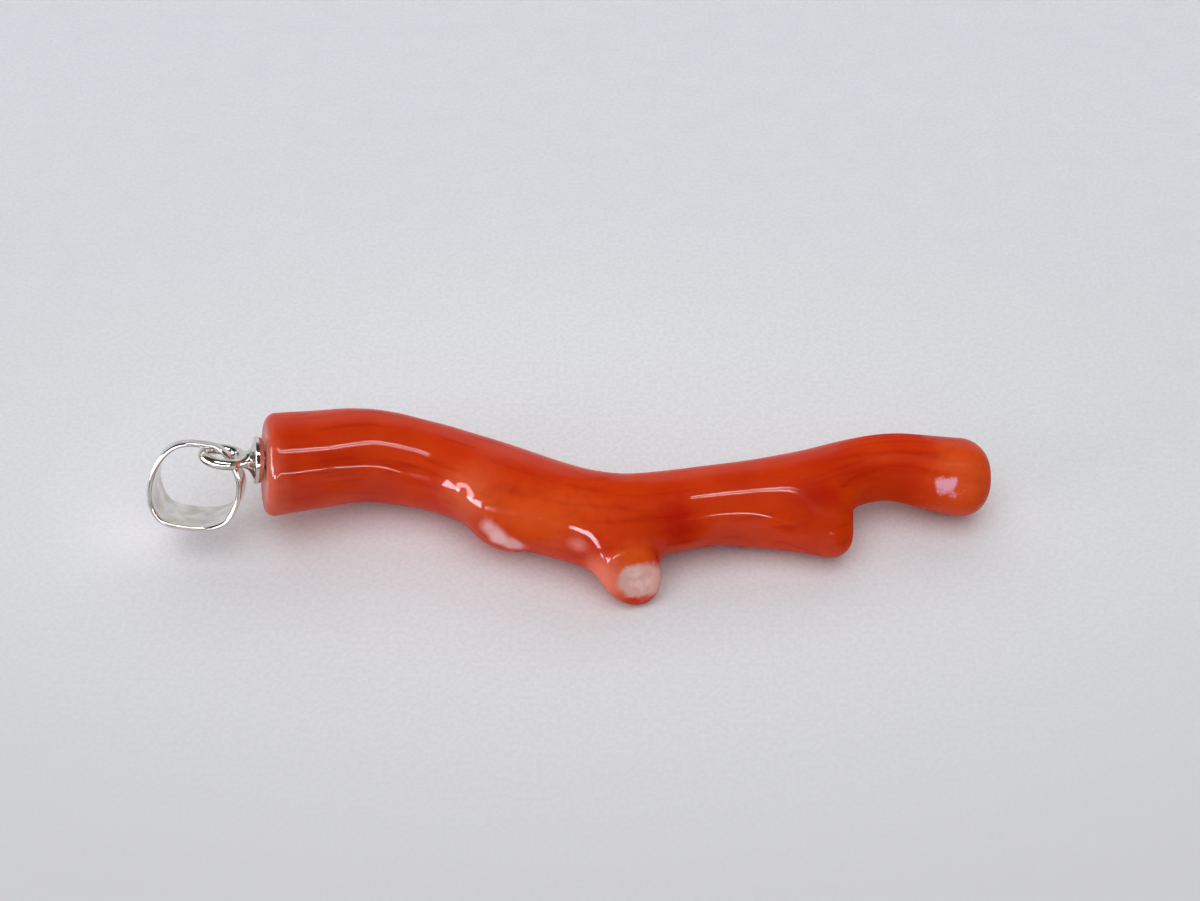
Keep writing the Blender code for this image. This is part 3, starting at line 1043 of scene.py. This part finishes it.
def handling_marks() -> Tree:
    """Makes the group for the faint scratches and smears that handling leaves on a polished surface.

    Returns:
        A group with the inputs Place, Scale and Dulling, and the outputs Dullness and Height.
    """
    smear_size, smear_range, smear_share = 0.6, (0.4, 0.75), 0.6
    scratch_range, scratch_share = (0.66, 0.72), 0.4
    scratch_turns = ((0.4, 0.28, 0.4), (-0.9, -0.63, -0.9))
    scratch_stretches = ((0.25, 9.0, 9.0), (0.2, 7.0, 7.0))
    inputs = {"Place": None, "Scale": 1.0, "Dulling": 0.1}
    group = EffectGroup("handling_marks", inputs, ["Dullness", "Height"])
    board = group.board
    place = board.vector("SCALE", group.inputs["Place"])
    board.feed(place.node.inputs["Scale"], group.inputs["Scale"])
    smear = board.span(board.noise(place, smear_size, detail=3.0), *smear_range)
    lines = []
    for turn, stretch in zip(scratch_turns, scratch_stretches):
        rotate = board.add("VectorRotate", rotation_type="EULER_XYZ")
        board.feed(rotate.inputs["Vector"], place)
        rotate.inputs["Rotation"].default_value = turn
        stretched = board.vector("MULTIPLY", rotate.outputs["Vector"], stretch)
        thin = board.noise(stretched, scale=1.0, detail=1.0)
        lines.append(board.span(thin, *scratch_range))
    scratch = board.maths("MAXIMUM", *lines)
    smeared = board.maths("MULTIPLY", smear, smear_share)
    worn = board.maths("ADD", smeared, board.maths("MULTIPLY", scratch, scratch_share))
    board.feed(group.outputs["Dullness"], board.maths("MULTIPLY", worn, group.inputs["Dulling"]))
    board.feed(group.outputs["Height"], board.maths("SUBTRACT", 1.0, scratch))
    return group.tree


def blank_material(name: str) -> tuple[Material, NodeBoard, bpy.types.Node, Socket]:
    """Makes a material with a Principled shader.

    Args:
        name: Name of the finish.

    Returns:
        The material, its board, its shader and the place on the surface in millimetres.
    """
    material = bpy.data.materials.new(name)
    material.use_nodes = True
    board = NodeBoard(material.node_tree)
    shader = material.node_tree.nodes["Principled BSDF"]
    place = board.vector("SCALE", board.add("TexCoord").outputs["Object"])
    place.node.inputs["Scale"].default_value = 1 / MM
    return material, board, shader, place


@dataclass(frozen=True)
class Patch:
    """A place on a surface that differs from the rest.

    Attributes:
        point: Its centre on the surface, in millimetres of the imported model.
        reach: How far it reaches along each axis.
        softness: Share of its reach over which it fades.
        wobble: How uneven its outline is.
    """

    point: Point
    reach: Point
    softness: float
    wobble: float = 0.5

    def mask(self, board: NodeBoard, place: Socket, uneven: Socket, strength: float) -> Socket:
        """Makes the patch's mask.

        Args:
            board: Board of the material.
            place: Place on the surface.
            uneven: Noise that makes its outline uneven.
            strength: Value in the middle of the patch.

        Returns:
            A value that falls from the strength to 0.
        """
        aside = board.vector("SUBTRACT", place, self.point)
        far = board.vector("LENGTH", board.vector("DIVIDE", aside, self.reach))
        shift = board.maths("MULTIPLY_ADD", uneven, self.wobble, -self.wobble / 2)
        return board.span(board.maths("ADD", far, shift), 1 - self.softness, 1.0, strength, 0.0)


@dataclass(frozen=True)
class CoralFinish:
    """Polished red coral: fine lengthwise grain, clouds of deeper red, pale ground places, and painted
    light and shade in places.

    Attributes:
        bright: Colour of the clear red.
        deep: Colour of the deeper clouds.
        deep_share: How much of it they take at most.
        grain: Colour of the fine lines along the branch.
        grain_stretch: How fine they are along and across the stem.
        grain_range: Noise where a line starts to show, and where it is full.
        grain_share: How much of its colour a line takes at most.
        grain_relief: Strength of the lines as a relief.
        outline_size: How fine the unevenness of the patches' outlines is.
        roughness: Roughness of the coral under its polish.
        shine: Strength of the shine under the polish.
        polish: Strength of the polish where it is at its best.
        polish_roughness: Roughness of the polish.
        tones_and_painted_light: Patches of another tone, each with its colour and how much of it they take;
            some are the coral's own pale or deep colour, others are painted shade, painted sheen and a
            painted highlight.
        thin: Patches where the polish is thin or worn away, each with how much of it is gone.
    """

    bright: Colour = (0.68, 0.047, 0.003)
    deep: Colour = (0.54, 0.018, 0.001)
    deep_share: float = 0.55
    grain: Colour = (0.42, 0.008, 0.001)
    grain_stretch: Point = (0.13, 1.5, 1.5)
    grain_range: tuple[float, float] = (0.5, 0.78)
    grain_share: float = 0.65
    grain_relief: float = 0.1
    outline_size: float = 1.4
    roughness: float = 0.45
    shine: float = 0.015
    polish: float = 0.4
    polish_roughness: float = 0.06
    tones_and_painted_light: tuple[tuple[Patch, Colour, float], ...] = (
        (Patch((7.2, -3.0, 4.4), (2.2, 2.4, 2.4), 0.8), (0.46, 0.004, 0.001), 0.8),
        # Painted shade: darker red in the concave valley between the stem and the side stub.
        (Patch((17.2, -1.3, 4.8), (3.4, 1.8, 1.5), 0.9), (0.44, 0.005, 0.001), 0.75),
        (Patch((20.4, 1.0, 5.0), (3.4, 1.5, 1.3), 0.9), (0.46, 0.007, 0.001), 0.5),
        (Patch((23.0, 1.3, 4.3), (2.6, 1.6, 1.6), 0.8), (0.50, 0.020, 0.001), 0.5),
        # Painted reflection: a darker band on the thick stem where the polish faces the camera, between the
        # two lamp streaks.
        (Patch((-16.2, 0.8, 6.6), (5.2, 1.1, 1.3), 0.8), (0.50, 0.012, 0.001), 0.5),
        (Patch((17.2, -2.5, 4.0), (3.6, 2.2, 2.2), 0.8), (0.50, 0.030, 0.002), 0.6),
        (Patch((-1.6, -3.0, 5.0), (6.5, 3.0, 3.0), 0.8), (0.80, 0.10, 0.010), 0.7),
        # Partly the coral's paler colour on the knot, partly painted sheen where its flank faces the bright
        # left.
        (Patch((-7.2, -1.0, 5.2), (3.8, 3.0, 3.0), 0.95, 0.3), (0.86, 0.17, 0.05), 0.55),
        # Partly the paler coral of the sawn thick end, partly painted light on that end from the left.
        (Patch((-21.5, 0.7, 5.6), (2.8, 4.6, 4.4), 0.9, 0.2), (0.97, 0.29, 0.18), 0.85),
        (Patch((27.5, 1.5, 4.2), (3.6, 4.0, 4.0), 0.8), (0.80, 0.11, 0.018), 0.7),
        # Painted light: the twig's left flank made paler as if lit from the left.
        (Patch((2.1, -6.4, 2.3), (2.8, 2.0, 2.4), 0.8, 0.3), (1.0, 0.24, 0.14), 0.88),
        (Patch((-5.7, -2.7, 3.7), (1.0, 1.0, 1.0), 0.7), (0.98, 0.54, 0.54), 0.78),
        (Patch((-5.1, -3.1, 3.1), (1.1, 1.0, 1.1), 0.7), (0.98, 0.58, 0.58), 0.88),
        (Patch((-4.2, -3.4, 2.5), (1.2, 0.9, 1.0), 0.7), (0.98, 0.54, 0.54), 0.78),
        (Patch((0.3, -5.0, 4.2), (1.1, 0.9, 0.8), 0.9), (0.94, 0.34, 0.28), 0.5),
        (Patch((3.9, -5.4, 3.7), (2.0, 1.6, 1.5), 0.8), (0.88, 0.13, 0.015), 0.8),
        (Patch((4.6, -6.72, 2.36), (1.75, 1.45, 1.45), 0.25, 0.3), (0.75, 0.43, 0.39), 0.97),
        (Patch((5.4, -6.6, 2.1), (1.7, 1.7, 1.6), 0.5, 0.5), (0.76, 0.41, 0.36), 0.9),
        (Patch((4.6, -6.8, 2.3), (1.3, 1.3, 1.3), 0.9, 3.0), (0.90, 0.60, 0.56), 0.8),
        # Painted highlight: a mottled lavender patch near the tip standing in for a broken reflection of a
        # lamp.
        (Patch((26.2, 0.45, 4.3), (1.0, 0.7, 0.9), 0.8, 3.0), (0.92, 0.42, 0.54), 0.9),
    )
    thin: tuple[tuple[Patch, float], ...] = (
        (Patch((0.8, -2.5, 6.5), (8.6, 1.9, 1.7), 0.35), 0.97),
        (Patch((5.4, -2.6, 6.0), (3.6, 1.8, 1.7), 0.3), 0.97),
        (Patch((2.5, -3.6, 5.9), (4.0, 1.2, 1.0), 0.3), 0.97),
        (Patch((7.4, -3.0, 4.5), (2.7, 2.2, 2.0), 0.3), 0.97),
        (Patch((-3.2, -3.3, 4.9), (3.8, 2.2, 1.9), 0.35), 0.97),
        (Patch((-0.9, -4.0, 5.3), (1.1, 0.9, 0.9), 0.35), 0.97),
        (Patch((-16.3, -0.1, 4.9), (5.5, 0.9, 1.0), 0.7), 0.6),
        (Patch((-5.4, -1.6, 5.9), (1.7, 1.2, 1.0), 0.35), 0.97),
        (Patch((-10.6, 0.7, 4.9), (1.7, 0.9, 0.9), 0.4), 0.92),
        (Patch((4.3, -5.8, 3.9), (1.35, 1.2, 1.2), 0.35), 0.97),
        (Patch((4.6, -6.75, 2.2), (1.6, 1.6, 1.6), 0.2, 0.2), 0.8),
        (Patch((15.4, -2.6, 4.2), (2.1, 1.6, 1.4), 0.35), 0.97),
        (Patch((18.2, -0.6, 5.0), (3.7, 3.0, 2.0), 0.25), 0.97),
        (Patch((19.3, -2.6, 3.6), (1.8, 2.4, 2.2), 0.35), 0.97),
        (Patch((22.5, 1.2, 4.6), (4.6, 5.6, 3.4), 0.3), 0.95),
        (Patch((27.3, 1.0, 4.4), (3.2, 3.0, 2.4), 0.3), 0.85),
    )

    def make(self, clouds: Tree, marks: Tree) -> Material:
        """Makes the material.

        Args:
            clouds: Group for slow changes of tone.
            marks: Group for handling marks.

        Returns:
            The material.
        """
        material, board, shader, place = blank_material("polished_coral")
        along = board.add("Attribute", attribute_name="grain_place").outputs["Vector"]
        tone = board.group(clouds, Place=place, Scale=0.28, Spread=0.22).outputs["Tone"]
        colour = board.mix(board.maths("MULTIPLY", tone, self.deep_share), self.bright, self.deep)
        along = board.vector("MULTIPLY", along, self.grain_stretch)
        fibre = board.noise(along, scale=1.0, detail=4.0)
        colour = board.mix(board.span(fibre, *self.grain_range, 0.0, self.grain_share), colour, self.grain)
        uneven = board.noise(place, self.outline_size, detail=3.0)
        # Some of these patches are the coral's own colour; others are painted light and shade.
        for patch, tint, share in self.tones_and_painted_light:
            colour = board.mix(patch.mask(board, place, uneven, share), colour, tint)
        board.feed(shader.inputs["Base Color"], colour)
        worn = board.group(marks, Place=place, Scale=0.8, Dulling=0.15)
        board.feed(shader.inputs["Roughness"], board.maths("ADD", worn.outputs["Dullness"], self.roughness))
        polish = board.maths("SUBTRACT", self.polish, worn.outputs["Dullness"])
        for patch, loss in self.thin:
            left = board.maths("SUBTRACT", 1.0, patch.mask(board, place, uneven, loss))
            polish = board.maths("MULTIPLY", polish, left)
        board.feed(shader.inputs["Coat Weight"], polish)
        board.bump(shader, fibre, self.grain_relief)
        shader.inputs["Specular IOR Level"].default_value = self.shine
        shader.inputs["Coat Roughness"].default_value = self.polish_roughness
        return material


@dataclass(frozen=True)
class SilverFinish:
    """Polished silver with a faint warm tarnish and fine scratches.

    Attributes:
        clean: Colour of the clean silver.
        tarnished: Colour of the tarnish.
        tarnish: How much of it shows at most.
        roughness: Roughness of the silver where it is unworn.
        scratch_relief: Strength of the scratches as a relief.
    """

    clean: Colour = (0.77, 0.76, 0.74)
    tarnished: Colour = (0.50, 0.44, 0.36)
    tarnish: float = 0.7
    roughness: float = 0.1
    scratch_relief: float = 0.12

    def make(self, clouds: Tree, marks: Tree) -> Material:
        """Makes the material.

        Args:
            clouds: Group for slow changes of tone.
            marks: Group for handling marks.

        Returns:
            The material.
        """
        material, board, shader, place = blank_material("polished_silver")
        tone = board.group(clouds, Place=place, Scale=0.9, Spread=0.2).outputs["Tone"]
        share = board.maths("MULTIPLY", tone, self.tarnish)
        board.feed(shader.inputs["Base Color"], board.mix(share, self.clean, self.tarnished))
        worn = board.group(marks, Place=place, Scale=2.5, Dulling=0.18)
        board.feed(shader.inputs["Roughness"], board.maths("ADD", worn.outputs["Dullness"], self.roughness))
        board.bump(shader, worn.outputs["Height"], self.scratch_relief)
        shader.inputs["Metallic"].default_value = 1.0
        return material


@dataclass(frozen=True)
class TableFinish:
    """Matt pale board with a faint tooth, painted shade toward the front and a painted pool of light round
    the pendant.

    Attributes:
        light: Colour of the board.
        shade: Colour of its faint clouds.
        near: Colour toward the front, painted shade for the light that falls off toward the camera.
        painted_falloff: Where, along Y in millimetres, the front's painted shade is full, and where it
            ends.
        middle: Lighter colour round the pendant, a painted pool of light.
        around: Where that colour lies.
        tooth: Colour of the board's fine grains.
        tooth_size: How fine they are.
        tooth_range: Noise where a grain starts to show, and where it is full.
        tooth_share: How much of its colour a grain takes at most.
        roughness: Roughness of the board.
    """

    light: Colour = (0.83, 0.88, 0.92)
    shade: Colour = (0.80, 0.85, 0.89)
    near: Colour = (0.70, 0.72, 0.715)
    painted_falloff: tuple[float, float] = (-60.0, 60.0)
    middle: Colour = (0.88, 0.925, 0.95)
    around: Patch = Patch((0.0, 6.0, 0.0), (70.0, 44.0, 10.0), 0.9, 0.0)
    tooth: Colour = (0.70, 0.74, 0.765)
    tooth_size: float = 3.2
    tooth_range: tuple[float, float] = (0.35, 0.65)
    tooth_share: float = 0.35
    roughness: float = 0.9

    def make(self, clouds: Tree) -> Material:
        """Makes the material.

        Args:
            clouds: Group for slow changes of tone.

        Returns:
            The material.
        """
        material, board, shader, place = blank_material("pale_table")
        tone = board.group(clouds, Place=place, Scale=0.35, Spread=0.3).outputs["Tone"]
        colour = board.mix(tone, self.light, self.shade)
        depth = board.add("SeparateXYZ")
        board.feed(depth.inputs["Vector"], place)
        # Painted shade: the board darkens toward the front, for light that falls off toward the camera.
        painted_falloff = board.span(depth.outputs["Y"], *self.painted_falloff, 1.0, 0.0)
        colour = board.mix(painted_falloff, colour, self.near)
        # Painted light: a lighter pool on the board round the pendant.
        around = self.around.mask(board, place, tone, 1.0)
        colour = board.mix(around, colour, self.middle)
        fine = board.noise(place, self.tooth_size, detail=3.0)
        fine = board.span(fine, *self.tooth_range, 0.0, self.tooth_share)
        board.feed(shader.inputs["Base Color"], board.mix(fine, colour, self.tooth))
        shader.inputs["Roughness"].default_value = self.roughness
        shader.inputs["Specular IOR Level"].default_value = 0.0
        return material


class LampUse(Enum):
    """What a lamp does: it is mirrored in polished surfaces, or it lights them softly."""

    MIRRORED = "mirrored"
    SOFT = "soft"


@dataclass(frozen=True)
class Lamp:
    """A lamp that faces the pendant, and runs along X unless it is swung round.

    Attributes:
        name: Name of the lamp.
        use: What the lamp does.
        elevation: Its angle above the front horizon, in degrees, over the top to the back.
        start: Angle of its left end to the side, in degrees, negative to the left.
        end: Angle of its right end to the side.
        height: Its height, as an angle in degrees.
        brightness: How much brighter it is than a white wall.
        colour: Colour of its light.
        swing: How far it is swung round from the front to the right, in degrees.
    """

    name: str
    use: LampUse
    elevation: float
    start: float
    end: float
    height: float
    brightness: float
    colour: Colour = (1.0, 0.96, 0.97)
    swing: float = 0.0

    def make(self, distance: float) -> None:
        """Hangs the lamp.

        Args:
            distance: Its distance from the pendant, in metres.
        """
        low, high = (distance * math.tan(math.radians(side)) for side in (self.start, self.end))
        length, width = high - low, 2 * distance * math.tan(math.radians(self.height) / 2)
        data = bpy.data.lights.new(self.name, "AREA")
        data.shape = "RECTANGLE"
        data.size = length
        data.size_y = width
        data.energy = self.brightness * math.pi * length * width
        data.color = self.colour
        lamp = bpy.data.objects.new(self.name, data)
        turn = math.radians(self.elevation)
        swing = math.radians(self.swing)
        aside, front = (low + high) / 2, math.cos(turn) * distance
        lamp.location = (
            aside * math.cos(swing) + front * math.sin(swing),
            aside * math.sin(swing) - front * math.cos(swing),
            math.sin(turn) * distance,
        )
        lamp.rotation_euler = (math.pi / 2 - turn, 0, swing)
        lamp.visible_diffuse = self.use is LampUse.SOFT
        lamp.visible_glossy = self.use is LampUse.MIRRORED
        bpy.context.scene.collection.objects.link(lamp)


WINDOW_LIGHT: Colour = (1.0, 0.80, 0.97)


@dataclass(frozen=True)
class Studio:
    """The pale table, the soft light round it and the camera.

    Attributes:
        camera_place: Where the camera stands, in metres.
        camera_tilt: Its angle from straight down, in degrees.
        lens: Its focal length, in millimetres.
        frame_width: Width of its frame, in millimetres.
        nearest: Nearest distance that it shows, in metres.
        distance: How far away the lamps hang, in metres.
        table_side: Length of the table's sides, in metres.
        lamps: The tubes and windows that show in the polish, and the soft light over the table.
        room: Shares of the way from the front horizon over the top to the back horizon, and the
            room's brightness there.
        sides: Brightness of the room far to the left and right.
        sides_range: How far aside that brightness starts, and where it is full, of 1.
    """

    camera_place: Point = (0.00188, -0.09705, 0.10539)
    camera_tilt: float = 45.0
    lens: float = 60.0
    frame_width: float = 36.0
    nearest: float = 0.005
    distance: float = 0.45
    table_side: float = 1.6
    lamps: tuple[Lamp, ...] = (
        Lamp("upper_tube", LampUse.MIRRORED, 82.0, -18.0, 38.0, 2.2, 30.0),
        Lamp("middle_tube", LampUse.MIRRORED, 76.5, -18.0, 38.0, 2.2, 30.0),
        Lamp("lower_tube", LampUse.MIRRORED, 19.0, -8.0, 42.0, 2.2, 30.0),
        Lamp("twig_window", LampUse.MIRRORED, 19.0, -40.0, -18.0, 9.0, 40.0, WINDOW_LIGHT),
        Lamp("left_window", LampUse.MIRRORED, 26.0, -85.0, -50.0, 26.0, 36.0, WINDOW_LIGHT),
        Lamp("end_window", LampUse.MIRRORED, 10.0, -12.0, 12.0, 19.0, 24.0, WINDOW_LIGHT, -90.0),
        Lamp("ceiling", LampUse.SOFT, 78.0, -35.0, 35.0, 60.0, 1.48),
        Lamp("back_window", LampUse.SOFT, 135.0, -35.0, 35.0, 30.0, 0.9),
        Lamp("front_fill", LampUse.SOFT, 35.0, -50.0, 40.0, 30.0, 0.5),
        Lamp("left_fill", LampUse.SOFT, 30.0, -78.0, -50.0, 40.0, 3.4, (0.97, 0.94, 1.0)),
    )
    room: tuple[tuple[float, float], ...] = (
        (0.0, 0.30),
        (0.10, 0.16),
        (0.14, 0.03),
        (0.70, 0.04),
        (0.78, 0.35),
        (0.83, 0.8),
        (1.0, 0.8),
    )
    sides: float = 0.3
    sides_range: tuple[float, float] = (0.6, 0.95)

    def make_room(self) -> None:
        """Makes the soft light of the room, brighter behind the pendant and to its sides."""
        world = bpy.data.worlds.new("room")
        world.use_nodes = True
        board = NodeBoard(world.node_tree)
        split = board.add("SeparateXYZ")
        board.feed(split.inputs[0], board.add("TexCoord").outputs["Generated"])
        x, y, z = split.outputs
        turn = board.maths("ARCTAN2", z, board.maths("MULTIPLY", y, -1.0))
        ramp = board.add("ValToRGB")
        board.feed(ramp.inputs[0], board.maths("DIVIDE", turn, math.pi))
        stops = ramp.color_ramp.elements
        while len(stops) < len(self.room):
            stops.new(0.5)  # Each stop gets its own place below.
        for stop, (place, level) in zip(stops, self.room):
            stop.position = place
            stop.color = (level, level, level, 1.0)
        aside = board.span(board.maths("ABSOLUTE", x), *self.sides_range)
        light = board.mix(aside, ramp.outputs["Color"], (self.sides, self.sides, self.sides))
        board.feed(world.node_tree.nodes["Background"].inputs["Color"], light)
        bpy.context.scene.world = world

    def make_table(self, finish: Material) -> None:
        """Lays the table under the pendant.

        Args:
            finish: Finish of the table.
        """
        half = self.table_side / 2
        mesh = bpy.data.meshes.new("table")
        corners = [(-half, -half, 0), (half, -half, 0), (half, half, 0), (-half, half, 0)]
        mesh.from_pydata(corners, [], [(0, 1, 2, 3)])
        mesh.materials.append(finish)
        table = bpy.data.objects.new("table", mesh)
        bpy.context.scene.collection.objects.link(table)

    def make_camera(self) -> None:
        """Stands the camera at the photograph's angle."""
        data = bpy.data.cameras.new("camera")
        data.lens = self.lens
        data.sensor_width = self.frame_width
        data.clip_start = self.nearest
        camera = bpy.data.objects.new("camera", data)
        camera.location = self.camera_place
        camera.rotation_euler = (math.radians(self.camera_tilt), 0, 0)
        bpy.context.scene.collection.objects.link(camera)
        bpy.context.scene.camera = camera

    def build(self, finish: Material) -> None:
        """Sets up the camera, the table and the light.

        Args:
            finish: Finish of the table.
        """
        self.make_camera()
        self.make_table(finish)
        self.make_room()
        for lamp in self.lamps:
            lamp.make(self.distance)
        bpy.context.scene.view_settings.view_transform = "Standard"


def main() -> None:
    """Builds the pendant, its table and its light, and reports each piece."""
    logging.basicConfig(level=logging.INFO, format="%(name)s: %(message)s")
    fitting = Fitting()
    clouds = cloudy_tone()
    marks = handling_marks()
    studio = Studio()
    studio.build(TableFinish().make(clouds))
    LOG.info("studio: %d lamps round a pale table", len(studio.lamps))
    coral = CoralFinish().make(clouds, marks)
    silver = SilverFinish().make(clouds, marks)
    for part, finish in {CoralBranch: coral, CapAndEye: silver, Bail: silver}.items():
        piece = part(fitting).build(finish)
        LOG.info("%s: %d faces", piece.name, len(piece.data.polygons))


if __name__ == "__main__":
    main()
